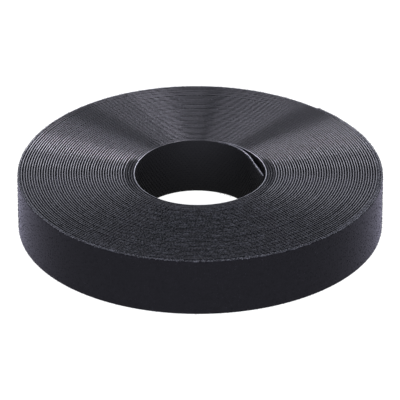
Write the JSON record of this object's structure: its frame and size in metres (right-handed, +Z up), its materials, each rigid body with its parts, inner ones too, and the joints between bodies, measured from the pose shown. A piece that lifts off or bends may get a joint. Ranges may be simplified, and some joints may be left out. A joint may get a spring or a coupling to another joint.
{
  "type": "hook and loop tape roll",
  "caption": "Flat coreless roll of black back-to-back hook and loop tape, hooks inward, for bundling; its outer end peels off and its inner end stands free in the bore.",
  "frame": {"origin": "on the roll's axis, in the plane of the face that it lies on", "axes": "+Z up along the roll's axis, +X to the right and +Y away in the pictured view"},
  "size_m": [0.1013, 0.1007, 0.016],
  "materials": {
    "hook_film": "black moulded film with rows of small hooks, satin",
    "loop_cloth": "black brushed loop cloth, matt and velvety"
  },
  "bodies": {
    "roll": {"hook_film_roll": "hook_film", "loop_cloth_roll": "loop_cloth"},
    "outer_end_1": {"outer_end_hook_film_1": "hook_film", "outer_end_loop_cloth_1": "loop_cloth"},
    "outer_end_2": {"outer_end_hook_film_2": "hook_film", "outer_end_loop_cloth_2": "loop_cloth"},
    "outer_end_3": {"outer_end_hook_film_3": "hook_film", "outer_end_loop_cloth_3": "loop_cloth"},
    "outer_end_4": {"outer_end_hook_film_4": "hook_film", "outer_end_loop_cloth_4": "loop_cloth"},
    "outer_end_5": {"outer_end_hook_film_5": "hook_film", "outer_end_loop_cloth_5": "loop_cloth"},
    "outer_end_6": {"outer_end_hook_film_6": "hook_film", "outer_end_loop_cloth_6": "loop_cloth"},
    "inner_end_1": {"inner_end_hook_film_1": "hook_film", "inner_end_loop_cloth_1": "loop_cloth"},
    "inner_end_2": {"inner_end_hook_film_2": "hook_film", "inner_end_loop_cloth_2": "loop_cloth"},
    "inner_end_3": {"inner_end_hook_film_3": "hook_film", "inner_end_loop_cloth_3": "loop_cloth"}
  },
  "joints": [
    {"name": "outer_end_peel", "type": "hinge", "parent": "roll", "child": "outer_end_1", "pos_m": [0.03793, -0.03395, 0.008], "axis": [0, 0, -1], "range_deg": [0, 20]},
    {"name": "outer_end_bend_2", "type": "hinge", "parent": "outer_end_1", "child": "outer_end_2", "pos_m": [0.04548, -0.02301, 0.008], "axis": [0, 0, -1], "range_deg": [0, 20]},
    {"name": "outer_end_bend_3", "type": "hinge", "parent": "outer_end_2", "child": "outer_end_3", "pos_m": [0.04995, -0.01046, 0.008], "axis": [0, 0, -1], "range_deg": [0, 20]},
    {"name": "outer_end_bend_4", "type": "hinge", "parent": "outer_end_3", "child": "outer_end_4", "pos_m": [0.05101, 0.00282, 0.008], "axis": [0, 0, -1], "range_deg": [0, 20]},
    {"name": "outer_end_bend_5", "type": "hinge", "parent": "outer_end_4", "child": "outer_end_5", "pos_m": [0.0486, 0.01595, 0.008], "axis": [0, 0, -1], "range_deg": [0, 20]},
    {"name": "outer_end_bend_6", "type": "hinge", "parent": "outer_end_5", "child": "outer_end_6", "pos_m": [0.04287, 0.02802, 0.008], "axis": [0, 0, -1], "range_deg": [0, 20]},
    {"name": "inner_end_swing", "type": "hinge", "parent": "roll", "child": "inner_end_1", "pos_m": [0.00846, 0.01629, 0.008], "axis": [0, 0, -1], "range_deg": [0, 20], "stiffness_Nm_per_rad": 0.0001},
    {"name": "inner_end_bend_2", "type": "hinge", "parent": "inner_end_1", "child": "inner_end_2", "pos_m": [0.01344, 0.01123, 0.008], "axis": [0, 0, -1], "range_deg": [0, 20], "stiffness_Nm_per_rad": 0.0001},
    {"name": "inner_end_bend_3", "type": "hinge", "parent": "inner_end_2", "child": "inner_end_3", "pos_m": [0.01588, 0.0049, 0.008], "axis": [0, 0, -1], "range_deg": [0, 20], "stiffness_Nm_per_rad": 0.0001}
  ],
  "couplings": [
    {"joint": "outer_end_bend_2", "follows": "outer_end_peel", "ratio": 1},
    {"joint": "outer_end_bend_3", "follows": "outer_end_peel", "ratio": 1},
    {"joint": "outer_end_bend_4", "follows": "outer_end_peel", "ratio": 1},
    {"joint": "outer_end_bend_5", "follows": "outer_end_peel", "ratio": 1},
    {"joint": "outer_end_bend_6", "follows": "outer_end_peel", "ratio": 1},
    {"joint": "inner_end_bend_2", "follows": "inner_end_swing", "ratio": 1},
    {"joint": "inner_end_bend_3", "follows": "inner_end_swing", "ratio": 1}
  ]
}
